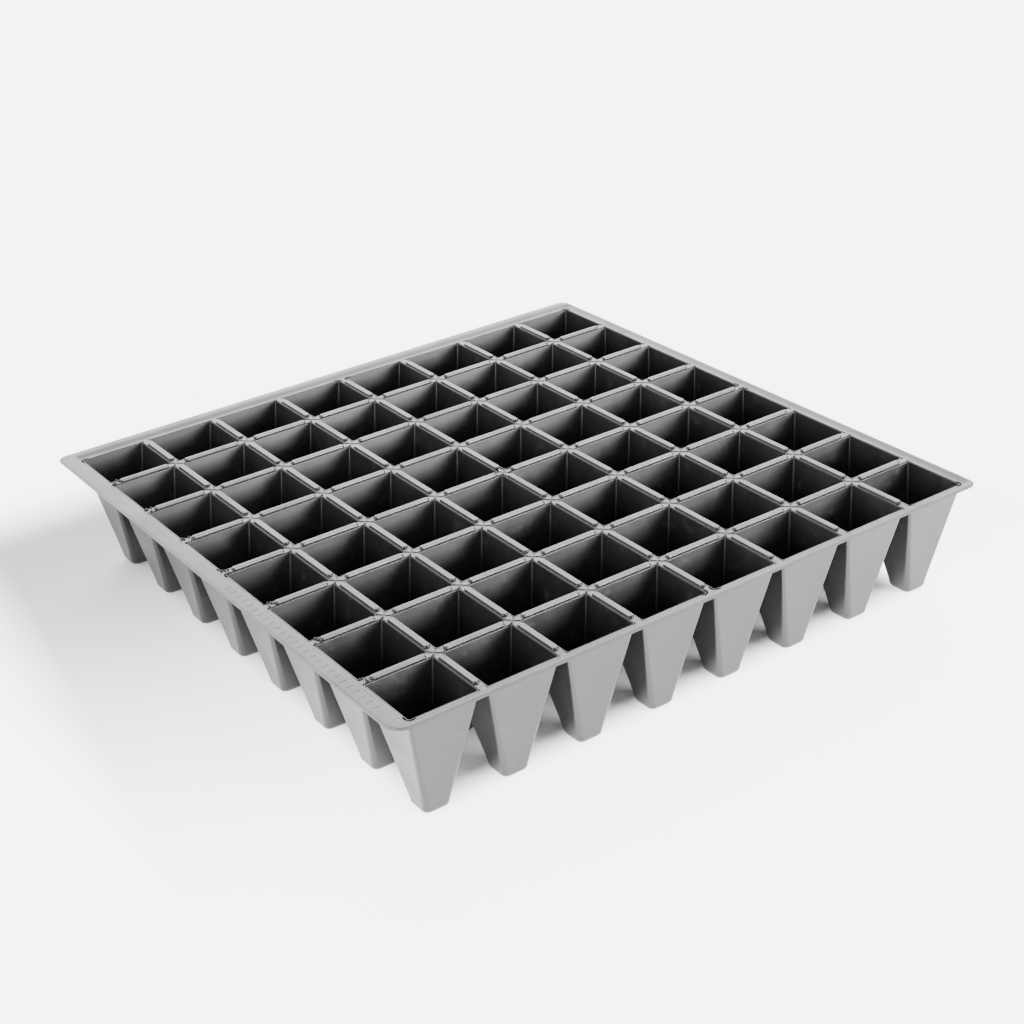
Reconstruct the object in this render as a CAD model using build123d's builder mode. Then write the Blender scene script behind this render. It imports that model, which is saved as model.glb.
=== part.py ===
from build123d import *
import os

# Deep square seedling tray: one thermoformed sheet, divided here into the zones that
# a grower would name. Row frame: +Z up, feet on Z = 0, outline centred on the origin.

# overall
height = 60.0               # feet to the tops of the ribs
sheet = 0.8                 # wall of the formed sheet
trim_shift = 2.2            # cells stand this far off the centre of the trimmed outline, in X and Y

# cell lattice
cells = 8                   # cells along each side
pitch = 41.5                # from one cell to the next
rib_width = 3.8             # deck left between the lips of two cells
edge_inset = 2.0            # outermost cells are this much narrower on their outer side

# foot of a cell
foot = 13.0                 # outside width where the walls would meet the floor
edge_radius = 4.0           # outside radius of the upright edges and of floor to wall
drain_hole = 5.0

# raised bead along each rib
bead_margin = 0.2           # deck left on each side of a bead
bead_height = 1.0
bead_gap = 5.0              # a bead stops this far from each crossing
bead_fillet = 0.4

# stacking pockets in the cell corners
pocket_radius = 2.7
pocket_depth = 5.0
pocket_inset = 1.2          # pocket centre from the mouth's sharp corner, in X and Y
pocket_every = 4            # at every fourth crossing

# rim
side_rim = 7.9              # lips to trimmed edge, mean of left and right
end_rim = 7.9               # lips to trimmed edge, mean of front and back
rim_land = 0.8              # flat strip at lip level before the rim steps up
rim_corner = 5.5
near_corner = 9.0           # trimmed corner where front and right rim meet
rim_fillet = 0.5

# derived levels and places
ledge_top = height - bead_height
ledge_bottom = ledge_top - sheet
mouth = pitch - rib_width - 2 * sheet
half_lattice = cells * pitch / 2
lip_limit = half_lattice - rib_width / 2 - edge_inset
rib_lines = [trim_shift + pitch * (n - cells / 2) for n in range(1, cells)]
field_low = trim_shift - lip_limit
field_high = trim_shift + lip_limit
rim_length = 2 * (lip_limit + side_rim)
rim_depth = 2 * (lip_limit + end_rim)
bead_width = rib_width - 2 * bead_margin


def cell_centre(index):
    return trim_shift + pitch * (index + 0.5 - cells / 2)


def mouth_span(index):
    """Low and high edge of a cell's mouth along one axis."""
    low = cell_centre(index) - mouth / 2
    high = cell_centre(index) + mouth / 2
    if index == 0:
        low += edge_inset
    if index == cells - 1:
        high -= edge_inset
    return low, high


def pocket_places(column, row):
    """Centres of the stacking pockets in one cell's corners."""
    places = []
    for step_x, x in enumerate(mouth_span(column)):
        for step_y, y in enumerate(mouth_span(row)):
            if (column + step_x) % pocket_every or (row + step_y) % pocket_every:
                continue
            inward_x = 1 - 2 * step_x
            inward_y = 1 - 2 * step_y
            places.append((x + inward_x * pocket_inset, y + inward_y * pocket_inset))
    return places


all_pockets = [
    place
    for column in range(cells)
    for row in range(cells)
    for place in pocket_places(column, row)
]


def wall_profile(index, wall, floor, top):
    # side view of a cell along one axis, drawn inwards by wall from the outside surface
    low, high = mouth_span(index)
    grow = sheet - wall
    half_foot = foot / 2 - wall
    middle = cell_centre(index)
    return [(middle - half_foot, floor), (middle + half_foot, floor), (high + grow, top), (low - grow, top)]


def tapered_plug(column, row, wall, floor, top):
    # solid pyramid of a cell with rounded upright and bottom edges
    with BuildPart() as plug:
        with BuildSketch(Plane.XZ):
            Polygon(*wall_profile(column, wall, floor, top), align=None)
        extrude(amount=rim_depth, both=True)
        with BuildSketch(Plane.YZ):
            Polygon(*wall_profile(row, wall, floor, top), align=None)
        extrude(amount=rim_length, both=True, mode=Mode.INTERSECT)
        upright = [edge for edge in plug.edges() if edge.bounding_box().size.Z > height / 2]
        bottom = plug.faces().sort_by(Axis.Z)[0].edges()
        fillet([*upright, *bottom], edge_radius - wall)
    return plug.part


def make_cell(column, row):
    """One open pot: tapered wall, rounded foot, drain hole, lip and any stacking pockets."""
    west, east = mouth_span(column)
    south, north = mouth_span(row)
    outside = tapered_plug(column, row, 0, 0, ledge_bottom)
    inside = tapered_plug(column, row, sheet, sheet, ledge_top)
    pockets = pocket_places(column, row)
    with BuildPart() as cell:
        add(outside)
        with BuildSketch(Plane.XY.offset(ledge_bottom)):
            with Locations(((west + east) / 2, (south + north) / 2)):
                Rectangle(east - west + 2 * sheet, north - south + 2 * sheet)
        extrude(amount=sheet)
        if pockets:
            with BuildSketch(Plane.XY.offset(ledge_top)):
                with Locations(*pockets):
                    Circle(pocket_radius + sheet)
            extrude(amount=-pocket_depth - sheet)
        add(inside, mode=Mode.SUBTRACT)
        if pockets:
            with BuildSketch(Plane.XY.offset(ledge_top)):
                with Locations(*pockets):
                    Circle(pocket_radius)
            extrude(amount=-pocket_depth, mode=Mode.SUBTRACT)
        with BuildSketch(Plane.XY):
            with Locations((cell_centre(column), cell_centre(row))):
                Circle(drain_hole / 2)
        extrude(amount=2 * sheet, mode=Mode.SUBTRACT)
    return cell.part


def pocket_cutter():
    """Posts that clear the deck round every stacking pocket."""
    with BuildPart() as posts:
        with BuildSketch(Plane.XY.offset(ledge_bottom)):
            with Locations(*all_pockets):
                Circle(pocket_radius + sheet)
        extrude(amount=height - ledge_bottom)
    return posts.part


def bead_spans(stops):
    """Start and end of each raised bead between neighbouring crossings or rims."""
    return [(a + bead_gap, b - bead_gap) for a, b in zip(stops, stops[1:])]


def make_rib(line, low, high, stops, along_x, cutter):
    """Deck strip on one lattice line, with hollow raised beads between the crossings."""
    def strip(start, end, width):
        middle = (start + end) / 2
        place = (middle, line) if along_x else (line, middle)
        size = (end - start, width) if along_x else (width, end - start)
        with Locations(place):
            Rectangle(*size)

    beads = [(a, b) for a, b in bead_spans(stops) if a >= low and b <= high]
    with BuildPart() as rib:
        with BuildSketch(Plane.XY.offset(ledge_bottom)):
            strip(low, high, rib_width)
        extrude(amount=sheet)
        with BuildSketch(Plane.XY.offset(ledge_top)):
            for start, end in beads:
                strip(start, end, bead_width)
        extrude(amount=bead_height)
        fillet(rib.faces().group_by(Axis.Z)[-1].edges(), bead_fillet)
        with BuildSketch(Plane.XY.offset(ledge_bottom)):
            for start, end in beads:
                strip(start + sheet, end - sheet, bead_width - 2 * sheet)
        extrude(amount=bead_height, mode=Mode.SUBTRACT)
        if cutter:
            add(cutter, mode=Mode.SUBTRACT)
    return rib.part


def rim_ring():
    """Whole rim: strip at lip level, step up, and the flat carrying flange with rounded corners."""
    field = field_high - field_low
    with BuildPart() as ring:
        with BuildSketch(Plane.XY.offset(ledge_bottom)):
            with Locations((trim_shift, trim_shift)):
                Rectangle(field + 2 * (rim_land + sheet), field + 2 * (rim_land + sheet))
        extrude(amount=height - ledge_bottom)
        with BuildSketch(Plane.XY.offset(height - sheet)) as outline:
            Rectangle(rim_length, rim_depth)
            corners = outline.vertices().sort_by(lambda corner: corner.X - corner.Y)
            fillet(corners[:-1], rim_corner)
            fillet(outline.vertices().sort_by(lambda corner: corner.X - corner.Y)[-1], near_corner)
        extrude(amount=sheet)
        with BuildSketch(Plane.XY.offset(ledge_top)):
            with Locations((trim_shift, trim_shift)):
                Rectangle(field + 2 * rim_land, field + 2 * rim_land)
        extrude(amount=bead_height, mode=Mode.SUBTRACT)
        fillet(ring.faces().group_by(Axis.Z)[-1].edges().filter_by(GeomType.LINE)
               .filter_by(lambda edge: edge.length < field + 2 * rim_land + sheet), rim_fillet)
        with BuildSketch(Plane.XY.offset(ledge_bottom)):
            with Locations((trim_shift, trim_shift)):
                Rectangle(field, field)
        extrude(amount=sheet, mode=Mode.SUBTRACT)
    return ring.part


def make_rim(ring, cutter, west, east, south, north):
    """One side of the rim: the ring kept inside a plan rectangle."""
    with BuildPart() as side:
        with BuildSketch(Plane.XY.offset(ledge_bottom)):
            with Locations(((west + east) / 2, (south + north) / 2)):
                Rectangle(east - west, north - south)
        extrude(amount=height - ledge_bottom)
        add(ring, mode=Mode.INTERSECT)
        add(cutter, mode=Mode.SUBTRACT)
    return side.part


def write(solid, name):
    solid.label = name
    export_step(solid, f"parts/{name}.step")


os.makedirs("parts", exist_ok=True)
cutter = pocket_cutter()

# eight rows of cells, row 1 at the front
for row in range(cells):
    pots = [make_cell(column, row) for column in range(cells)]
    with BuildPart() as cell_row:
        for pot in pots:
            add(pot)
    write(cell_row.part, f"cell_row_{row + 1}")

# ribs along Y run from rim to rim, ribs along X fill in between them
stops = [field_low, *rib_lines, field_high]
for number, line in enumerate(rib_lines, 1):
    posts = cutter if number % pocket_every == 0 else None
    rib_column = make_rib(line, field_low, field_high, stops, False, posts)
    write(rib_column, f"rib_column_{number}")

for number, line in enumerate(rib_lines, 1):
    posts = cutter if number % pocket_every == 0 else None
    pieces = []
    for column in range(cells):
        low = stops[column] + (rib_width / 2 if column else 0)
        high = stops[column + 1] - (rib_width / 2 if column < cells - 1 else 0)
        pieces.append(make_rib(line, low, high, stops, True, posts))
    with BuildPart() as rib_row:
        for piece in pieces:
            add(piece)
    write(rib_row.part, f"rib_row_{number}")

# four sides of the rim: front and back hold the corners
ring = rim_ring()
half_x = rim_length / 2
half_y = rim_depth / 2
write(make_rim(ring, cutter, -half_x, half_x, -half_y, field_low), "rim_front")
write(make_rim(ring, cutter, -half_x, half_x, field_high, half_y), "rim_back")
write(make_rim(ring, cutter, -half_x, field_low, field_low, field_high), "rim_left")
write(make_rim(ring, cutter, field_high, half_x, field_low, field_high), "rim_right")
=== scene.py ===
import math
import bpy
import numpy as np
from mathutils import Matrix, Vector


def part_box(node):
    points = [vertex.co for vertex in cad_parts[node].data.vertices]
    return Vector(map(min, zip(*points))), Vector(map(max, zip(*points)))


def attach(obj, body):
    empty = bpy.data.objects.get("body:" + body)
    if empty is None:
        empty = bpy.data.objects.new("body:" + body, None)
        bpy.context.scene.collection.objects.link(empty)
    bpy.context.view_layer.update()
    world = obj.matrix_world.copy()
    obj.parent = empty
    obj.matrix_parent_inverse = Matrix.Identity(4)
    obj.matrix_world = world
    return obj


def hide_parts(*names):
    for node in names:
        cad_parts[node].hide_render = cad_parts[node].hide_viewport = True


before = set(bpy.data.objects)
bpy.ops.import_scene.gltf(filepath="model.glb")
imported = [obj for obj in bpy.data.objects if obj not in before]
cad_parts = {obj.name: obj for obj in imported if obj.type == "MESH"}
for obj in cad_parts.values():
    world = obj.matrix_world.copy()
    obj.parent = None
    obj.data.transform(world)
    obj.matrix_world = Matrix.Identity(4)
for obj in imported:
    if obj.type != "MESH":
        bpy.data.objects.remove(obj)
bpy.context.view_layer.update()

mm = 0.001


# sizes of the tray in millimetres, the same values as the solids of the frame
tray = {
    "cells": 8,
    "pitch": 41.5,
    "shift": 2.2,           # cells stand off the outline's centre, in X and Y
    "ribWidth": 3.8,        # strip between the lips of two cells
    "sheet": 0.8,
    "top": 60.0,
    "edgeInset": 2.0,       # outermost cells are narrower on their outer side
    "rimCorner": 5.5,
    "nearCorner": 9.0,      # trimmed corner where front and right rim meet
}
ledge = tray["top"] - 1.0
halfMouth = (tray["pitch"] - tray["ribWidth"]) / 2 - tray["sheet"]
halfLip = halfMouth + tray["sheet"]
reach = tray["pitch"] * tray["cells"] / 2 - tray["ribWidth"] / 2 - tray["edgeInset"]
fieldLow = tray["shift"] - reach
fieldHigh = tray["shift"] + reach
ribLines = [tray["shift"] + tray["pitch"] * (n - tray["cells"] / 2) for n in range(1, tray["cells"])]
outline = [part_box("rim_front")[0][0] / mm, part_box("rim_front")[0][1] / mm,
           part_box("rim_front")[1][0] / mm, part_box("rim_back")[1][1] / mm]
print("frame read, outline", [round(v, 1) for v in outline])


def hexColor(code):
    # sRGB hex to the linear colour that the shader sockets take
    def linear(v):
        return v / 12.92 if v <= 0.04045 else ((v + 0.055) / 1.055) ** 2.4
    return tuple(linear(int(code[i:i + 2], 16) / 255) for i in (1, 3, 5)) + (1.0,)


def addNode(tree, kind, settings=None, inputs=None):
    # settings are node properties, inputs are numbers, colours or sockets to link from
    node = tree.nodes.new(kind)
    for key, value in (settings or {}).items():
        setattr(node, key, value)
    for key, value in (inputs or {}).items():
        if isinstance(value, bpy.types.NodeSocket):
            tree.links.new(value, node.inputs[key])
        else:
            node.inputs[key].default_value = value
    return node


def cellCentre(index):
    return tray["shift"] + tray["pitch"] * (index + 0.5 - tray["cells"] / 2)


def smooth(low, high, value):
    t = np.clip((value - low) / (high - low), 0, 1)
    return t * t * (3 - 2 * t)


# ---- deck height: one rule for lips, ribs and rim, so that neighbours meet exactly
deck = {
    "beadTop": (1.0, 1.4),  # half width of a bead's flat top, on columns and on rows
    "beadFoot": (1.5, 1.85),        # where its side meets the ledge
    "beadHeight": 0.98,
    "beadEnd": 4.6,         # bead's round end stops this far from the crossing
    "crossDip": 0.08,       # sheet sags between a bead's end and the crossing
    "ridgeHeight": 0.3,     # thin folds along the diagonals of a crossing
    "ridgeWidth": 0.32,
    "ridgeReach": 3.6,      # folds have faded out here
    "ridgeFull": 0.55,      # and are whole up to this share of it
    "dipRing": (2.9, 1.1),  # radius and width of the sag round a crossing
    "dipEdge": (1.9, 2.7),  # the sag ends between these distances from a rib's middle
    "lipMargin": 0.3,       # folds and sag stop this far outside the lips
    "rimFoot": 0.8,         # rim starts to rise this far outside the lips
    "rimCrest": (3.1, 6.8), # full height here, on the front and right rims and on the other two
    "rimLevel": 59.86,      # crest of the rim
    "rimDroop": 0.12,       # outer edge hangs lower than the crest
    "droopRun": 1.2,
}
latticeLines = np.array([fieldLow - tray["ribWidth"] / 2, *ribLines, fieldHigh + tray["ribWidth"] / 2])


def nearestLine(v):
    gaps = v[..., None] - latticeLines
    pick = np.abs(gaps).argmin(-1)
    return np.take_along_axis(gaps, pick[..., None], -1)[..., 0], pick


def outside(x, y):
    # distance outwards from the rectangle of lips, negative inside it
    dx = np.maximum(fieldLow - x, x - fieldHigh)
    dy = np.maximum(fieldLow - y, y - fieldHigh)
    both = np.hypot(np.maximum(dx, 0), np.maximum(dy, 0))
    return np.where(np.maximum(dx, dy) > 0, both, np.maximum(dx, dy))


def cornerRadius(x, y):
    near = (x > 0) & (y < 0)
    return np.where(near, tray["nearCorner"], tray["rimCorner"])


def toEdge(x, y):
    # distance inwards from the trimmed outline with its rounded corners
    r = cornerRadius(x, y)
    cx = (outline[0] + outline[2]) / 2
    cy = (outline[1] + outline[3]) / 2
    qx = np.abs(x - cx) - ((outline[2] - outline[0]) / 2 - r)
    qy = np.abs(y - cy) - ((outline[3] - outline[1]) / 2 - r)
    out = np.hypot(np.maximum(qx, 0), np.maximum(qy, 0)) + np.minimum(np.maximum(qx, qy), 0)
    return r - out


def deckHeight(x, y):
    x = np.asarray(x, float)
    y = np.asarray(y, float)
    gx, ix = nearestLine(x)
    gy, iy = nearestLine(y)
    ax = np.abs(gx)
    ay = np.abs(gy)
    out = outside(x, y)
    last = len(latticeLines) - 1

    def bead(across, along, pick, kind):
        # long ridge with half-round ends, kind 0 on columns and 1 on rows
        foot = deck["beadFoot"][kind]
        past = np.maximum(deck["beadEnd"] + foot - along, 0)
        side = 1 - smooth(deck["beadTop"][kind], foot, np.hypot(across, past))
        return side * ((pick > 0) & (pick < last))

    z = np.full(x.shape, ledge)
    # along-rib distance is taken to the nearest crossing, and to the lips' edge at the rim
    alongX = np.minimum(ax, np.where(ix == 0, x - fieldLow, np.where(ix == last, fieldHigh - x, 99)))
    alongY = np.minimum(ay, np.where(iy == 0, y - fieldLow, np.where(iy == last, fieldHigh - y, 99)))
    beads = np.maximum(bead(ax, alongY, ix, 0), bead(ay, alongX, iy, 1))
    z = z + deck["beadHeight"] * np.where(out < 0, beads, 0)
    radius = np.hypot(ax, ay)
    fade = 1 - smooth(deck["ridgeReach"] * deck["ridgeFull"], deck["ridgeReach"], radius)
    ridge = np.exp(-((ax - ay) / deck["ridgeWidth"]) ** 2 / 2) * fade
    ringRadius, ringWidth = deck["dipRing"]
    dip = np.exp(-((radius - ringRadius) / ringWidth) ** 2) * (1 - ridge)
    onLattice = np.where(out < deck["lipMargin"], 1, 0)
    near = (1 - smooth(*deck["dipEdge"], np.minimum(ax, ay))) * onLattice
    z = z + deck["ridgeHeight"] * ridge * onLattice - deck["crossDip"] * dip * near
    # rim: rises from lip level to its crest, then droops to the trimmed edge
    gentleOut = np.maximum(np.maximum(fieldLow - x, y - fieldHigh), 0)
    steepOut = np.maximum(np.maximum(x - fieldHigh, fieldLow - y), 0)
    gentle = gentleOut / (gentleOut + steepOut + 1e-6)
    steepCrest, gentleCrest = deck["rimCrest"]
    rise = smooth(deck["rimFoot"], steepCrest + (gentleCrest - steepCrest) * gentle, out)
    z = z + (deck["rimLevel"] - ledge) * rise
    z = z - deck["rimDroop"] * (1 - smooth(0, deck["droopRun"], toEdge(x, y))) * rise
    return np.minimum(z, tray["top"])


def deckNormal(x, y):
    h = 0.04
    dx = (deckHeight(x + h, y) - deckHeight(x - h, y)) / (2 * h)
    dy = (deckHeight(x, y + h) - deckHeight(x, y - h)) / (2 * h)
    n = np.stack([-dx, -dy, np.ones_like(dx)], -1)
    return n / np.linalg.norm(n, axis=-1, keepdims=True)


# ---- stacking pockets: round wells in the cell corners at every fourth crossing
pocket = {
    "radius": 2.7,
    "depth": 5.0,
    "inset": 1.2,           # centre from the mouth's sharp corner, in X and Y
    "every": 4,
    "clearance": 0.25,      # deck stops this far outside a well's edge
}


def mouthSpan(index):
    low = cellCentre(index) - halfMouth
    high = cellCentre(index) + halfMouth
    if index == 0:
        low += tray["edgeInset"]
    if index == tray["cells"] - 1:
        high -= tray["edgeInset"]
    return low, high


def pocketCorners(column, row):
    return [(sx, sy) for sx in (0, 1) for sy in (0, 1)
            if (column + sx) % pocket["every"] == 0 and (row + sy) % pocket["every"] == 0]


pocketCentres = []
for row in range(tray["cells"]):
    for column in range(tray["cells"]):
        for sx, sy in pocketCorners(column, row):
            px = mouthSpan(column)[sx] + (1 - 2 * sx) * pocket["inset"]
            py = mouthSpan(row)[sy] + (1 - 2 * sy) * pocket["inset"]
            pocketCentres.append((px, py))


def pushOut(x, y, centres, radius):
    # moves points that lie in a well out to its edge
    for cx, cy in centres:
        dx = x - cx
        dy = y - cy
        d = np.maximum(np.hypot(dx, dy), 1e-6)
        scale = np.where(d < radius, radius / d, 1)
        x = cx + dx * scale
        y = cy + dy * scale
    return x, y


def meshFrom(name, points, faces, loopNormals):
    mesh = bpy.data.meshes.new(name)
    mesh.from_pydata((points * mm).tolist(), [], faces.tolist())
    mesh.validate()
    mesh.shade_smooth()
    mesh.normals_split_custom_set(loopNormals.reshape(-1, 3).tolist())
    return mesh


def faceNormals(points, faces):
    p = points[faces]
    n = np.cross(p[:, 2] - p[:, 0], p[:, 3] - p[:, 1])
    return n / np.maximum(np.linalg.norm(n, axis=-1, keepdims=True), 1e-12)


def slab(name, x, y):
    # closed strip of sheet over a plan grid: deck surface on top, the sheet's thickness under it
    rows, cols = x.shape
    x, y = pushOut(x, y, pocketCentres, pocket["radius"] + pocket["clearance"])
    z = deckHeight(x, y)
    top = np.stack([x, y, z], -1).reshape(-1, 3)
    normal = deckNormal(x, y).reshape(-1, 3)
    low = top - [0, 0, tray["sheet"]]
    points = np.concatenate([top, low])
    count = rows * cols
    i = np.arange(count).reshape(rows, cols)
    a, b, c, d = i[:-1, :-1].ravel(), i[:-1, 1:].ravel(), i[1:, 1:].ravel(), i[1:, :-1].ravel()
    upper = np.stack([a, b, c, d], 1)
    ring = np.concatenate([i[0, :-1], i[:-1, -1], i[-1, :0:-1], i[:0:-1, 0]])
    after = np.roll(ring, -1)
    wall = np.stack([ring, ring + count, after + count, after], 1)
    lower = upper[:, ::-1] + count
    if faceNormals(points, upper)[:, 2].mean() < 0:
        upper, lower, wall = upper[:, ::-1], lower[:, ::-1], wall[:, ::-1]
    faces = np.concatenate([upper, lower, wall])
    both = np.concatenate([normal, -normal])
    wallNormals = np.repeat(faceNormals(points, wall)[:, None], 4, 1)
    loops = np.concatenate([both[upper], both[lower], wallNormals])
    return meshFrom(name, points, faces, loops)


def joinMeshes(name, meshes):
    # one mesh of several closed strips, normals kept
    points, faces, loops, base = [], [], [], 0
    for mesh in meshes:
        co = np.empty(len(mesh.vertices) * 3)
        mesh.vertices.foreach_get("co", co)
        face = np.empty(len(mesh.loops), int)
        mesh.loops.foreach_get("vertex_index", face)
        normals = np.array([tuple(n.vector) for n in mesh.corner_normals])
        points.append(co.reshape(-1, 3) / mm)
        faces.append(face.reshape(-1, 4) + base)
        loops.append(normals)
        base += len(mesh.vertices)
        bpy.data.meshes.remove(mesh)
    return meshFrom(name, np.concatenate(points), np.concatenate(faces), np.concatenate(loops))


def place(name, mesh, material, nodes):
    piece = bpy.data.objects.new(name, mesh)
    bpy.context.scene.collection.objects.link(piece)
    if material.name not in [m.name for m in mesh.materials if m]:
        mesh.materials.clear()
        mesh.materials.append(material)
    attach(piece, "root")
    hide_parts(*nodes)
    return piece


# ---- the plastic
plastic = {
    "grain": 0.35,          # millimetres between the grains of the mould's blasted surface
    "flow": 22.0,           # millimetres between the soft waves left by stretching
    "scuff": 7.0,           # millimetres across a scuffed, duller patch
}


def formedPlastic():
    # black polystyrene sheet, vacuum formed: satin skin, fine speckle, soft waves that bend reflections
    material = bpy.data.materials.new("vacuumFormedPolystyrene")
    material.use_nodes = True
    tree = material.node_tree
    tree.nodes.clear()
    spot = addNode(tree, "ShaderNodeTexCoord")
    waves = addNode(tree, "ShaderNodeTexNoise", inputs={
        "Vector": spot.outputs["Object"], "Scale": 1 / (plastic["flow"] * mm), "Detail": 2.0})
    speckle = addNode(tree, "ShaderNodeTexNoise", inputs={
        "Vector": spot.outputs["Object"], "Scale": 1 / (plastic["grain"] * 2 * mm), "Detail": 2.0})
    tone = addNode(tree, "ShaderNodeMix", {"data_type": "RGBA"}, {
        "Factor": waves.outputs["Fac"], 6: hexColor("#121214"), 7: hexColor("#1b1b1d")})
    rub = addNode(tree, "ShaderNodeTexNoise", inputs={
        "Vector": spot.outputs["Object"], "Scale": 1 / (plastic["scuff"] * mm),
        "Detail": 6.0, "Roughness": 0.65})
    scuffs = addNode(tree, "ShaderNodeMapRange", inputs={
        "Value": rub.outputs["Fac"], "From Min": 0.56, "From Max": 0.74})
    worn = addNode(tree, "ShaderNodeMix", {"data_type": "RGBA"}, {
        "Factor": scuffs.outputs["Result"], 6: tone.outputs[2], 7: hexColor("#2b2b2d")})
    gloss = addNode(tree, "ShaderNodeMapRange", inputs={
        "Value": waves.outputs["Fac"], "From Min": 0.3, "From Max": 0.7, "To Min": 0.29, "To Max": 0.38})
    dull = addNode(tree, "ShaderNodeMath", {"operation": "MULTIPLY_ADD"}, {
        0: scuffs.outputs["Result"], 1: 0.1, 2: gloss.outputs["Result"]})
    bumpWaves = addNode(tree, "ShaderNodeBump", inputs={
        "Height": waves.outputs["Fac"], "Strength": 0.25, "Distance": 0.0006})
    bumpGrain = addNode(tree, "ShaderNodeBump", inputs={
        "Height": speckle.outputs["Fac"], "Normal": bumpWaves.outputs["Normal"],
        "Strength": 0.22, "Distance": 0.0001})
    shader = addNode(tree, "ShaderNodeBsdfPrincipled", inputs={
        "Base Color": worn.outputs[2], "Roughness": dull.outputs[0],
        "Normal": bumpGrain.outputs["Normal"], "IOR": 1.59})
    addNode(tree, "ShaderNodeOutputMaterial", inputs={"Surface": shader.outputs["BSDF"]})
    return material


sheetMaterial = formedPlastic()
print("material made")

# ---- ribs: strips between the lips, with close rows of points where beads end
ribPoints = {"closeRun": 7.0, "closePoints": 22, "widePoints": 9}


def alongStops(low, high, starts):
    # positions along a rib: close together round each crossing, wide apart along the beads
    marks = sorted({round(s, 4) for s in starts if low - 0.01 <= s <= high + 0.01} | {low, high})
    values = []
    for a, b in zip(marks, marks[1:]):
        span = b - a
        near = min(ribPoints["closeRun"], span / 2)
        values.extend(np.linspace(a, a + near, ribPoints["closePoints"])[:-1])
        if span > 2 * near:
            values.extend(np.linspace(a + near, b - near, ribPoints["widePoints"])[:-1])
        values.extend(np.linspace(b - near, b, ribPoints["closePoints"])[:-1])
    return np.array(values + [marks[-1]])


def mirrored(steps):
    # the same steps on both sides of a rib's middle
    steps = np.array(steps) * halfRib / 1.9
    return np.concatenate([-steps[:0:-1], steps])


halfRib = tray["ribWidth"] / 2
columnSteps = mirrored([0, 0.5, 0.9, 1.0, 1.08, 1.16, 1.25, 1.34, 1.42, 1.5, 1.7, 1.9])
rowSteps = mirrored([0, 0.7, 1.25, 1.4, 1.48, 1.56, 1.63, 1.7, 1.77, 1.85, 1.9])

for number, line in enumerate(ribLines, 1):
    along = alongStops(fieldLow, fieldHigh, ribLines)
    y, x = np.meshgrid(along, line + columnSteps, indexing="ij")
    place(f"ribColumn{number}", slab("ribColumn", x, y), sheetMaterial, [f"rib_column_{number}"])

stops = [fieldLow, *ribLines, fieldHigh]
for number, line in enumerate(ribLines, 1):
    strips = []
    for k in range(tray["cells"]):
        low = stops[k] + (halfRib if k else 0)
        high = stops[k + 1] - (halfRib if k < tray["cells"] - 1 else 0)
        x, y = np.meshgrid(alongStops(low, high, []), line + rowSteps, indexing="ij")
        strips.append(slab("ribRow", x, y))
    place(f"ribRow{number}", joinMeshes("ribRow", strips), sheetMaterial, [f"rib_row_{number}"])
print("ribs made")


# ---- rim: four strips, front and back with the rounded corners
rimSteps = np.array([0, 0.4, 0.8, 1.05, 1.3, 1.6, 1.95, 2.3, 2.6, 2.85, 3.1])
rimPoints = {"across": 9, "leftEnd": 40, "rightEnd": 30}


def rimWidths(width):
    outer = np.linspace(rimSteps[-1], width, rimPoints["across"])[1:]
    return np.concatenate([rimSteps, outer])


def clampToOutline(x, y):
    # pulls the corner of the plan grid in to the trimmed corner radius
    for sx in (-1, 1):
        for sy in (-1, 1):
            r = float(cornerRadius(np.float64(sx), np.float64(sy)))
            ex = outline[2] - r if sx > 0 else outline[0] + r
            ey = outline[3] - r if sy > 0 else outline[1] + r
            qx = (x - ex) * sx
            qy = (y - ey) * sy
            corner = (qx > 0) & (qy > 0)
            d = np.maximum(np.hypot(qx, qy), 1e-9)
            # square rings of the grid become round ones, so the grid stays whole
            ring = np.maximum(qx, qy)
            scale = np.where(corner, ring / d, 1)
            x = np.where(corner, ex + sx * qx * scale, x)
            y = np.where(corner, ey + sy * qy * scale, y)
    return x, y


def makeRim(name, node, axis, side):
    lips = fieldHigh if side > 0 else fieldLow
    edge = outline[axis + 2] if side > 0 else outline[axis]
    width = abs(edge - lips)
    offsets = lips + side * rimWidths(width)
    if axis == 1:
        along = alongStops(fieldLow, fieldHigh, ribLines)
        left = np.linspace(outline[0], fieldLow, rimPoints["leftEnd"])[:-1]
        right = np.linspace(fieldHigh, outline[2], rimPoints["rightEnd"])[1:]
        along = np.concatenate([left, along, right])
        x, y = np.meshgrid(along, offsets, indexing="ij")
    else:
        along = alongStops(fieldLow, fieldHigh, ribLines)
        y, x = np.meshgrid(along, offsets, indexing="ij")
    x, y = clampToOutline(x, y)
    place(name, slab(name, x, y), sheetMaterial, [node])


makeRim("rimFront", "rim_front", 1, -1)
makeRim("rimBack", "rim_back", 1, 1)
makeRim("rimLeft", "rim_left", 0, -1)
makeRim("rimRight", "rim_right", 0, 1)
print("rim made")


# ---- pots: one pot drawn as rings, then set out along each row by geometry nodes
pot = {
    "cornerTop": 0.6,       # inside radius of the upright edges under the lip
    "cornerFoot": 2.2,      # and at the floor
    "cornerSteps": 12,
    "sideSteps": 8,
    "lipRound": 0.6,        # sheet's bend from lip to wall
    "halfFoot": 5.7,        # inside, where the walls would meet the floor
    "footRound": 4.1,
    "hole": 2.5,
    "bow": 0.25,            # walls bow inwards a little between the corners
    "wallSteps": 12,
    "leanRun": 6.5,         # outermost walls lean in over this distance from a pot's middle
}


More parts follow.
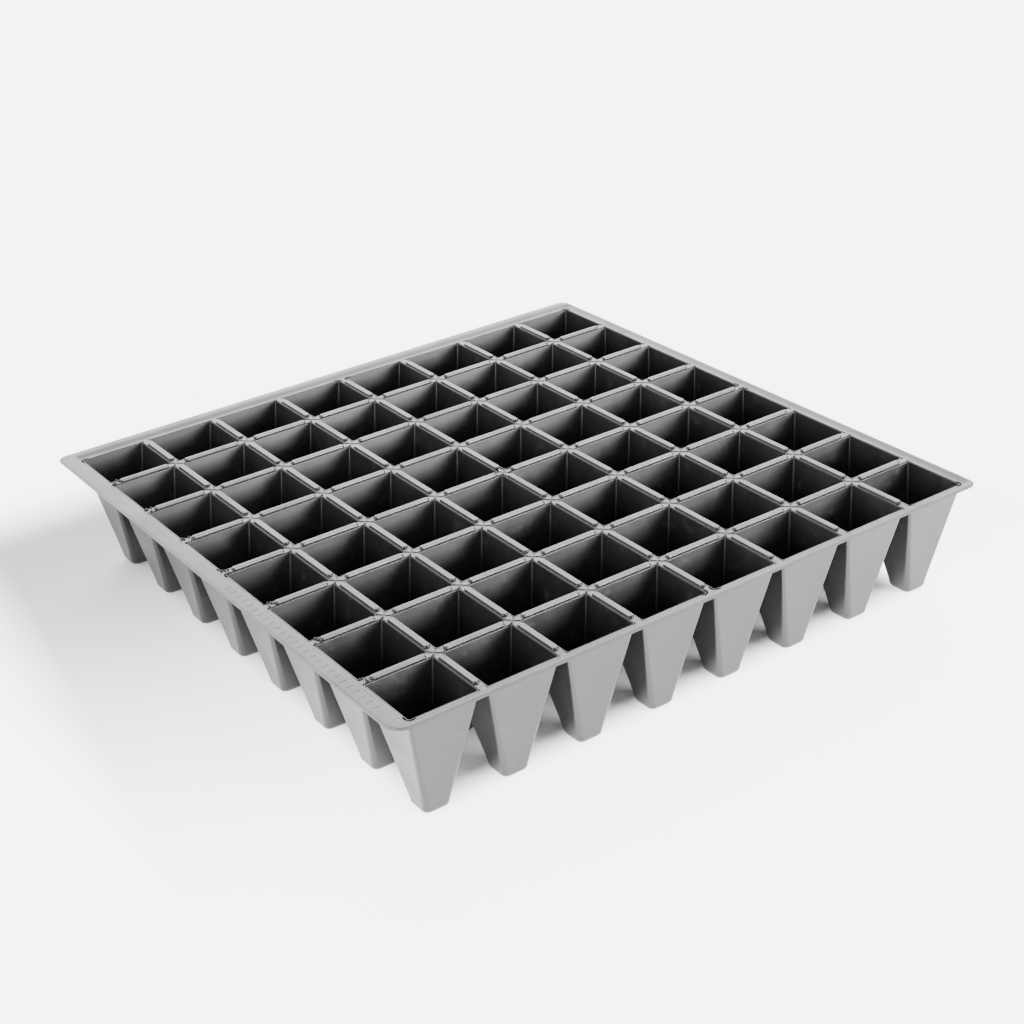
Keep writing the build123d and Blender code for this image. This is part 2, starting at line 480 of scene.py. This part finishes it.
def ringPoints(half, radius):
    # rounded square, anticlockwise, the same count of points for every size
    radius = min(radius, half - 1e-4)
    points = []
    for k in range(4):
        turn = k * math.pi / 2
        mid = half - radius
        for n in range(pot["cornerSteps"] + 1):
            a = turn + n / pot["cornerSteps"] * math.pi / 2
            cx = mid * (math.cos(turn) - math.sin(turn))
            cy = mid * (math.sin(turn) + math.cos(turn))
            points.append((cx + radius * math.cos(a), cy + radius * math.sin(a)))
        x0, y0 = points[-1]
        nextTurn = turn + math.pi / 2
        x1 = mid * (math.cos(nextTurn) - math.sin(nextTurn)) + radius * math.cos(nextTurn)
        y1 = mid * (math.sin(nextTurn) + math.cos(nextTurn)) + radius * math.sin(nextTurn)
        for n in range(1, pot["sideSteps"]):
            t = n / pot["sideSteps"]
            points.append((x0 + (x1 - x0) * t, y0 + (y1 - y0) * t))
    return np.array(points)


def potRings():
    # (half width, corner radius, height) from the lip's inner side down to the drain hole
    rings = []
    bend = pot["lipRound"]
    for a in np.linspace(0, 1, 5):
        turn = a * math.pi / 2 * 0.87
        rings.append((halfMouth + bend * (1 - math.sin(turn)) - 0.02,
                      pot["cornerTop"] + bend * (1 - math.sin(turn)), ledge - bend * (1 - math.cos(turn))))
    topHalf, _, topZ = rings[-1]
    floor = tray["sheet"]
    slope = (topHalf - pot["halfFoot"]) / (topZ - floor)
    lowZ = floor + pot["footRound"] * 0.8
    for t in np.linspace(0, 1, pot["wallSteps"] + 1)[1:]:
        z = topZ + (lowZ - topZ) * t
        corner = pot["cornerTop"] + (pot["cornerFoot"] - pot["cornerTop"]) * t
        rings.append((pot["halfFoot"] + slope * (z - floor), corner, z))
    half0, _, z0 = rings[-1]
    for t in np.linspace(0, 1, 7)[1:]:
        a = t * math.pi / 2
        half = half0 - pot["footRound"] * 0.86 * (1 - math.cos(a))
        rings.append((half, min(pot["cornerFoot"], half * 0.9), z0 - (z0 - floor) * math.sin(a)))
    rings.append((pot["hole"], pot["hole"] - 1e-3, floor))
    return rings


def makePot(name, withPocket):
    inner = potRings()
    sheet = tray["sheet"]
    if withPocket:
        # two more rings, just above and just below the well's floor
        for z in (ledge - pocket["depth"] + 0.25, ledge - pocket["depth"] - 0.05):
            k = next(n for n, g in enumerate(inner) if g[2] < z)
            a, b = inner[k - 1], inner[k]
            t = (a[2] - z) / (a[2] - b[2])
            inner.insert(k, (a[0] + (b[0] - a[0]) * t, a[1], z))
    well = halfMouth - pocket["inset"]
    lines = []

    def ring(half, radius, z, wall):
        p = ringPoints(half, radius)
        bow = pot["bow"] * smooth(2, 20, z) * (1 - smooth(40, 58, z))
        reachOut = np.clip(1 - (np.minimum(np.abs(p[:, 0]), np.abs(p[:, 1])) / max(half, 1e-6)) ** 2, 0, 1)
        p = p * (1 - (bow * reachOut / max(half, 1))[:, None])
        if withPocket and z > ledge - pocket["depth"] - wall:
            x, y = pushOut(p[:, 0], p[:, 1], [(well, well)], pocket["radius"] + wall)
            p = np.stack([x, y], 1)
        zz = np.full(len(p), z)
        lines.append(np.column_stack([p, zz]))

    def lipRing(half, radius, drop, wall):
        p = ringPoints(half, radius)
        x, y = p[:, 0], p[:, 1]
        if withPocket:
            x, y = pushOut(x, y, [(well, well)], pocket["radius"] + wall)
        # heights come from an inner cell's place on the deck
        z = deckHeight(x + cellCentre(3), y + cellCentre(3)) - drop
        lines.append(np.column_stack([x, y, z]))

    lipRing(halfLip, 0.02, 0, 0.25)
    lipRing(halfLip - 0.12, 0.6, 0, 0.22)
    lipRing(halfMouth + pot["lipRound"] + 0.02, pot["cornerTop"] + pot["lipRound"] - 0.2, 0, 0.2)
    deckRows = len(lines)
    for half, radius, z in inner:
        ring(half, radius, z, 0.0)
    for half, radius, z in reversed(inner):
        low = z < tray["sheet"] + 0.02
        isHole = low and half <= pot["hole"] + 0.01
        outHalf = half if isHole else half + sheet * 0.98
        outZ = z - sheet if low else z - sheet * (1 - smooth(0.8, 5, z)) - 0.1
        if z > ledge - 1.0:
            outZ = z - sheet * 0.55
        ring(outHalf, radius + (0 if isHole else sheet * 0.8), max(outZ, 0.0), sheet * 0.9)
    lipRing(halfLip, 0.02, tray["sheet"], 0.25)
    grid = np.stack(lines)
    rows, cols, _ = grid.shape
    ahead = np.roll(grid, -1, 1) - np.roll(grid, 1, 1)
    down = np.roll(grid, -1, 0) - np.roll(grid, 1, 0)
    normal = np.cross(down, ahead)
    normal /= np.maximum(np.linalg.norm(normal, axis=-1, keepdims=True), 1e-9)
    deckPart = deckNormal(grid[:deckRows, :, 0] + cellCentre(3), grid[:deckRows, :, 1] + cellCentre(3))
    normal[:deckRows] = deckPart
    index = np.arange(rows * cols).reshape(rows, cols)
    a = index
    b = np.roll(index, -1, 1)
    c = np.roll(b, -1, 0)
    d = np.roll(index, -1, 0)
    faces = np.stack([a, d, c, b], -1).reshape(-1, 4)
    points = grid.reshape(-1, 3)
    loops = normal.reshape(-1, 3)[faces]
    # the short wall under the lip's outer edge is flat
    edge = np.zeros((rows, cols), bool)
    edge[-1] = True
    flat = edge.reshape(-1)
    loops[flat] = faceNormals(points, faces)[flat][:, None]
    return meshFrom(name, points, faces, loops)


plainPot = makePot("plainPot", False)
pocketPot = makePot("pocketPot", True)
print("pot drawn,", len(plainPot.polygons), "faces")


# ---- geometry nodes: pots stand on the points of a row, each turned so that its well faces a crossing
def potRowTree():
    tree = bpy.data.node_groups.new("potRow", "GeometryNodeTree")
    face = tree.interface
    face.new_socket("Geometry", in_out="INPUT", socket_type="NodeSocketGeometry")
    face.new_socket("Plain Pot", in_out="INPUT", socket_type="NodeSocketObject")
    face.new_socket("Pocket Pot", in_out="INPUT", socket_type="NodeSocketObject")
    face.new_socket("Material", in_out="INPUT", socket_type="NodeSocketMaterial")
    face.new_socket("Geometry", in_out="OUTPUT", socket_type="NodeSocketGeometry")
    given = addNode(tree, "NodeGroupInput")
    plain = addNode(tree, "GeometryNodeObjectInfo", inputs={"Object": given.outputs["Plain Pot"]})
    welled = addNode(tree, "GeometryNodeObjectInfo", inputs={"Object": given.outputs["Pocket Pot"]})
    choice = addNode(tree, "GeometryNodeGeometryToInstance")
    # a multi-input lists its last link first
    tree.links.new(welled.outputs["Geometry"], choice.inputs[0])
    tree.links.new(plain.outputs["Geometry"], choice.inputs[0])
    variant = addNode(tree, "GeometryNodeInputNamedAttribute", {"data_type": "INT"}, {"Name": "variant"})
    turn = addNode(tree, "GeometryNodeInputNamedAttribute", {"data_type": "FLOAT"}, {"Name": "turn"})
    spin = addNode(tree, "ShaderNodeCombineXYZ", inputs={"Z": turn.outputs[0]})
    stand = addNode(tree, "GeometryNodeInstanceOnPoints", inputs={
        "Points": given.outputs["Geometry"], "Instance": choice.outputs[0], "Pick Instance": True,
        "Instance Index": variant.outputs[0], "Rotation": spin.outputs[0]})
    solid = addNode(tree, "GeometryNodeRealizeInstances", inputs={"Geometry": stand.outputs[0]})
    coat = addNode(tree, "GeometryNodeSetMaterial", inputs={
        "Geometry": solid.outputs[0], "Material": given.outputs["Material"]})
    out = addNode(tree, "NodeGroupOutput")
    tree.links.new(coat.outputs[0], out.inputs[0])
    return tree


def shapeRow(mesh, row):
    # outermost pots lean in on their outer side
    co = np.empty(len(mesh.vertices) * 3)
    mesh.vertices.foreach_get("co", co)
    co = co.reshape(-1, 3) / mm
    x, y, z = co.T.copy()
    rise = tray["edgeInset"] * np.clip((z - tray["sheet"]) / (ledge - tray["sheet"]), 0, 1)
    last = tray["cells"] - 1
    for index, sign in ((0, -1), (last, 1)):
        gap = (x - cellCentre(index)) * sign
        here = (gap > 0) & (gap < tray["pitch"])
        x = np.where(here, x - sign * rise * np.clip(gap / pot["leanRun"], 0, 1), x)
        if row == index:
            gap = (y - cellCentre(index)) * sign
            y = np.where(gap > 0, y - sign * rise * np.clip(gap / pot["leanRun"], 0, 1), y)
    mesh.vertices.foreach_set("co", (np.stack([x, y, z], 1) * mm).ravel())
    mesh.update()


potTree = potRowTree()
sockets = {item.name: item.identifier for item in potTree.interface.items_tree if item.in_out == "INPUT"}
plainObject = bpy.data.objects.new("plainPot", plainPot)
pocketObject = bpy.data.objects.new("pocketPot", pocketPot)
turns = {(1, 1): 0.0, (0, 1): math.pi / 2, (0, 0): math.pi, (1, 0): -math.pi / 2}

for row in range(tray["cells"]):
    spots = bpy.data.meshes.new("spots")
    spots.from_pydata([(cellCentre(c) * mm, cellCentre(row) * mm, 0) for c in range(tray["cells"])], [], [])
    variant = spots.attributes.new("variant", "INT", "POINT")
    turn = spots.attributes.new("turn", "FLOAT", "POINT")
    for column in range(tray["cells"]):
        for corner in pocketCorners(column, row):
            variant.data[column].value = 1
            turn.data[column].value = turns[corner]
    holder = bpy.data.objects.new("holder", spots)
    bpy.context.scene.collection.objects.link(holder)
    nodes = holder.modifiers.new("pots", "NODES")
    nodes.node_group = potTree
    nodes[sockets["Plain Pot"]] = plainObject
    nodes[sockets["Pocket Pot"]] = pocketObject
    nodes[sockets["Material"]] = sheetMaterial
    graph = bpy.context.evaluated_depsgraph_get()
    made = bpy.data.meshes.new_from_object(holder.evaluated_get(graph), depsgraph=graph)
    holder.modifiers.remove(nodes)
    bpy.data.objects.remove(holder)
    shapeRow(made, row)
    for name in ("variant", "turn"):
        if name in made.attributes:
            made.attributes.remove(made.attributes[name])
    place(f"potRow{row + 1}", made, sheetMaterial, [f"cell_row_{row + 1}"])
bpy.data.objects.remove(plainObject)
bpy.data.objects.remove(pocketObject)
print("pots set out")


# ---- small lumps of excess sheet where the ribs meet the front rim, and a row of plain moulded bars
folds = {"seed": 5, "perRib": 5, "length": 2.1, "height": 0.95, "spread": 2.6, "run": 4.6}
bars = {"count": 26, "from": 18.0, "spacing": 5.2, "size": (0.8, 3.4, 0.2), "line": -165.2}


def scatterTree(name, lump):
    # one small solid on every point, scaled and turned by the points' own values
    tree = bpy.data.node_groups.new(name, "GeometryNodeTree")
    face = tree.interface
    face.new_socket("Geometry", in_out="INPUT", socket_type="NodeSocketGeometry")
    face.new_socket("Size", in_out="INPUT", socket_type="NodeSocketVector")
    face.new_socket("Vary", in_out="INPUT", socket_type="NodeSocketFloat")
    face.new_socket("Seed", in_out="INPUT", socket_type="NodeSocketInt")
    face.new_socket("Material", in_out="INPUT", socket_type="NodeSocketMaterial")
    face.new_socket("Geometry", in_out="OUTPUT", socket_type="NodeSocketGeometry")
    given = addNode(tree, "NodeGroupInput")
    low = addNode(tree, "ShaderNodeMath", {"operation": "SUBTRACT"}, {0: 1.0, 1: given.outputs["Vary"]})
    scale = addNode(tree, "FunctionNodeRandomValue", {"data_type": "FLOAT"}, {
        2: low.outputs[0], 3: 1.0, "Seed": given.outputs["Seed"]})
    size = addNode(tree, "ShaderNodeVectorMath", {"operation": "SCALE"}, {
        0: given.outputs["Size"], "Scale": scale.outputs[1]})
    spin = addNode(tree, "FunctionNodeRandomValue", {"data_type": "FLOAT"}, {
        2: -0.9, 3: 0.9, "Seed": given.outputs["Seed"]})
    held = addNode(tree, "ShaderNodeMath", {"operation": "MULTIPLY"}, {
        0: spin.outputs[1], 1: given.outputs["Vary"]})
    turn = addNode(tree, "ShaderNodeCombineXYZ", inputs={"Z": held.outputs[0]})
    stand = addNode(tree, "GeometryNodeInstanceOnPoints", inputs={
        "Points": given.outputs["Geometry"], "Instance": lump(tree), "Rotation": turn.outputs[0],
        "Scale": size.outputs[0]})
    solid = addNode(tree, "GeometryNodeRealizeInstances", inputs={"Geometry": stand.outputs[0]})
    coat = addNode(tree, "GeometryNodeSetMaterial", inputs={
        "Geometry": solid.outputs[0], "Material": given.outputs["Material"]})
    out = addNode(tree, "NodeGroupOutput")
    tree.links.new(coat.outputs[0], out.inputs[0])
    return tree


def roundLump(tree):
    ball = addNode(tree, "GeometryNodeMeshIcoSphere", inputs={"Radius": 0.5, "Subdivisions": 3})
    return ball.outputs["Mesh"]


def squareBar(tree):
    return addNode(tree, "GeometryNodeMeshCube", inputs={"Size": (1, 1, 1)}).outputs["Mesh"]


def scatter(name, tree, places, values, smoothShade):
    spots = bpy.data.meshes.new("spots")
    spots.from_pydata([tuple(v * mm for v in p) for p in places], [], [])
    holder = bpy.data.objects.new("holder", spots)
    bpy.context.scene.collection.objects.link(holder)
    nodes = holder.modifiers.new("scatter", "NODES")
    nodes.node_group = tree
    keys = {item.name: item.identifier for item in tree.interface.items_tree if item.in_out == "INPUT"}
    for key, value in values.items():
        nodes[keys[key]] = value
    nodes[keys["Material"]] = sheetMaterial
    graph = bpy.context.evaluated_depsgraph_get()
    made = bpy.data.meshes.new_from_object(holder.evaluated_get(graph), depsgraph=graph)
    holder.modifiers.remove(nodes)
    bpy.data.objects.remove(holder)
    if smoothShade:
        made.shade_smooth()
    piece = bpy.data.objects.new(name, made)
    bpy.context.scene.collection.objects.link(piece)
    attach(piece, "root")


rng = np.random.default_rng(folds["seed"])
foldSpots = []
for line in ribLines:
    for n in range(folds["perRib"]):
        side = 1 if n % 2 else -1
        foldSpots.append((line + side * rng.uniform(0.5, folds["spread"]),
                          fieldLow + rng.uniform(0.4, folds["run"]), tray["top"] - folds["height"] - 0.05))
scatter("frontFolds", scatterTree("folds", roundLump), foldSpots,
        {"Size": (folds["length"] * mm, folds["length"] * 0.75 * mm, folds["height"] * 2 * mm),
         "Vary": 0.45, "Seed": folds["seed"]}, True)
barSpots = []
for n in range(bars["count"]):
    x = bars["from"] + n * bars["spacing"]
    barSpots.append((x, bars["line"], deck["rimLevel"] - 0.01))
scatter("rimBars", scatterTree("bars", squareBar), barSpots,
        {"Size": tuple(v * mm for v in bars["size"]), "Vary": 0.0, "Seed": 1}, False)
print("folds and bars set out")


# ---- studio
studio = {
    "floor": "#f7f7f5",
    "paintedGlow": 5.0,            # painted light: the paper itself glows
    "paintedShadowLeft": 0.0,        # glow's share in the painted shadow beside the tray's left end
    "paintedShadowFall": 0.2,        # from none to all between X = -0.2 and X = 0.2
    "paintedShadowEnd": (0.2, 0.27),       # full again this far out
    "paintedShadowUnderTray": (0.134, 0.157),     # none of it under the tray: painted shadow of the tray
    "wall": 2.2,            # pale walls all round, up to where the dark ceiling starts
    "ceiling": 0.35,
    "ceilingFrom": 0.5,     # sine of the elevation
    "ceilingTo": 0.8,
    "panel": 6.5,           # large softbox behind the tray
    "panelAt": (143.0, 28.0),       # degrees from +X, degrees up
    "panelEdge": (0.87, 0.97),      # cosines of its fading edge
    "gap": 0.4,             # share left on the unlit wall to the camera's right
    "gapTowards": 62.0,
    "gapEdge": (0.35, 0.6),
    "floorHalf": 6.0,
    "cameraAt": (0.718, -0.4751, 0.4795),
    "cameraAim": (-0.005, 0.0108, 0.030),
    "cameraRoll": -3.4,
    "lens": 65.5,
}
lights = {
    # name: (place, size, watts)
    "rightSoftbox": ((1.5, 0.87, 0.42), (0.9, 0.4), 55),
    "leftSoftbox": ((0.1, -1.7, 0.6), (1.0, 0.6), 14),
}


def paleFloor():
    # matt seamless paper; it glows as painted light, with painted shadow under the tray and beside its left
    # end
    material = bpy.data.materials.new("paperWithPaintedGlow")
    material.use_nodes = True
    tree = material.node_tree
    shader = tree.nodes["Principled BSDF"]
    shader.inputs["Base Color"].default_value = hexColor(studio["floor"])
    shader.inputs["Roughness"].default_value = 0.9
    shader.inputs["Emission Color"].default_value = (1, 1, 1, 1)
    at = addNode(tree, "ShaderNodeTexCoord")
    parts = addNode(tree, "ShaderNodeSeparateXYZ", inputs={"Vector": at.outputs["Object"]})
    away = []
    for axis in ("X", "Y"):
        middle = addNode(tree, "ShaderNodeMath", {"operation": "SUBTRACT"}, {
            0: parts.outputs[axis], 1: tray["shift"] * mm})
        away.append(addNode(tree, "ShaderNodeMath", {"operation": "ABSOLUTE"}, {0: middle.outputs[0]}))
    far = addNode(tree, "ShaderNodeMath", {"operation": "MAXIMUM"}, {
        0: away[0].outputs[0], 1: away[1].outputs[0]})
    # painted light: the paper's glow, cut out under the tray as a painted shadow of it
    lit = addNode(tree, "ShaderNodeMapRange", {"interpolation_type": "SMOOTHSTEP"}, {
        "Value": far.outputs[0], "From Min": studio["paintedShadowUnderTray"][0], "From Max": studio["paintedShadowUnderTray"][1],
        "To Min": 0.0, "To Max": studio["paintedGlow"]})
    # painted shadow beside the tray's left end, fading out towards +X
    fall = addNode(tree, "ShaderNodeMapRange", {"interpolation_type": "SMOOTHSTEP"}, {
        "Value": parts.outputs["X"], "From Min": -studio["paintedShadowFall"], "From Max": studio["paintedShadowFall"],
        "To Min": studio["paintedShadowLeft"], "To Max": 1.0})
    # the painted shadow by the left end stops this far from the tray
    back = addNode(tree, "ShaderNodeMapRange", {"interpolation_type": "SMOOTHSTEP"}, {
        "Value": far.outputs[0], "From Min": studio["paintedShadowEnd"][0], "From Max": studio["paintedShadowEnd"][1]})
    share = addNode(tree, "ShaderNodeMath", {"operation": "MAXIMUM"}, {
        0: fall.outputs["Result"], 1: back.outputs["Result"]})
    paintedGlow = addNode(tree, "ShaderNodeMath", {"operation": "MULTIPLY"}, {
        0: lit.outputs["Result"], 1: share.outputs[0]})
    tree.links.new(paintedGlow.outputs[0], shader.inputs["Emission Strength"])
    half = studio["floorHalf"]
    mesh = bpy.data.meshes.new("floor")
    corners = [(-half, -half, 0), (half, -half, 0), (half, half, 0), (-half, half, 0)]
    mesh.from_pydata(corners, [], [(0, 1, 2, 3)])
    mesh.materials.append(material)
    floor = bpy.data.objects.new("floor", mesh)
    bpy.context.scene.collection.objects.link(floor)


def addLight(name, at, size, watts):
    lamp = bpy.data.lights.new(name, "AREA")
    lamp.shape = "RECTANGLE"
    lamp.size, lamp.size_y = size
    lamp.energy = watts
    obj = bpy.data.objects.new(name, lamp)
    obj.location = at
    obj.rotation_mode = "QUATERNION"
    obj.rotation_quaternion = (Vector((0, 0, 0.04)) - Vector(at)).to_track_quat("-Z", "Y")
    bpy.context.scene.collection.objects.link(obj)


def addCamera():
    data = bpy.data.cameras.new("camera")
    data.lens = studio["lens"]
    data.sensor_width = 36
    data.clip_start = 0.01
    obj = bpy.data.objects.new("camera", data)
    obj.location = studio["cameraAt"]
    look = (Vector(studio["cameraAim"]) - obj.location).to_track_quat("-Z", "Y").to_matrix().to_4x4()
    obj.rotation_mode = "QUATERNION"
    roll = Matrix.Rotation(math.radians(studio["cameraRoll"]), 4, "Z")
    obj.rotation_quaternion = (look @ roll).to_quaternion()
    bpy.context.scene.collection.objects.link(obj)
    bpy.context.scene.camera = obj


def paleWorld():
    # white walls that fade to a dark ceiling, with one dimmer stretch
    world = bpy.data.worlds.new("studioWorld")
    bpy.context.scene.world = world
    world.use_nodes = True
    tree = world.node_tree
    back = tree.nodes["Background"]
    way = addNode(tree, "ShaderNodeTexCoord")
    parts = addNode(tree, "ShaderNodeSeparateXYZ", inputs={"Vector": way.outputs["Generated"]})
    height = addNode(tree, "ShaderNodeMapRange", {"interpolation_type": "SMOOTHSTEP"}, {
        "Value": parts.outputs["Z"], "From Min": studio["ceilingFrom"], "From Max": studio["ceilingTo"],
        "To Min": studio["wall"], "To Max": studio["ceiling"]})
    turn = math.radians(studio["gapTowards"])
    toGap = addNode(tree, "ShaderNodeVectorMath", {"operation": "DOT_PRODUCT"}, {
        0: way.outputs["Generated"], 1: (math.cos(turn), math.sin(turn), 0)})
    dim = addNode(tree, "ShaderNodeMapRange", {"interpolation_type": "SMOOTHSTEP"}, {
        "Value": toGap.outputs["Value"], "From Min": studio["gapEdge"][0], "From Max": studio["gapEdge"][1],
        "To Min": 1.0, "To Max": studio["gap"]})
    wall = addNode(tree, "ShaderNodeMath", {"operation": "MULTIPLY"}, {
        0: height.outputs["Result"], 1: dim.outputs["Result"]})
    turn, up = (math.radians(a) for a in studio["panelAt"])
    toPanel = addNode(tree, "ShaderNodeVectorMath", {"operation": "DOT_PRODUCT"}, {
        0: way.outputs["Generated"],
        1: (math.cos(up) * math.cos(turn), math.cos(up) * math.sin(turn), math.sin(up))})
    panel = addNode(tree, "ShaderNodeMapRange", {"interpolation_type": "SMOOTHSTEP"}, {
        "Value": toPanel.outputs["Value"],
        "From Min": studio["panelEdge"][0], "From Max": studio["panelEdge"][1],
        "To Min": 0.0, "To Max": studio["panel"]})
    level = addNode(tree, "ShaderNodeMath", {"operation": "ADD"}, {
        0: wall.outputs["Value"], 1: panel.outputs["Result"]})
    back.inputs["Color"].default_value = (1, 1, 1, 1)
    tree.links.new(level.outputs["Value"], back.inputs["Strength"])


paleFloor()
addCamera()
paleWorld()
for name, (at, size, watts) in lights.items():
    addLight(name, at, size, watts)
print("studio lit")
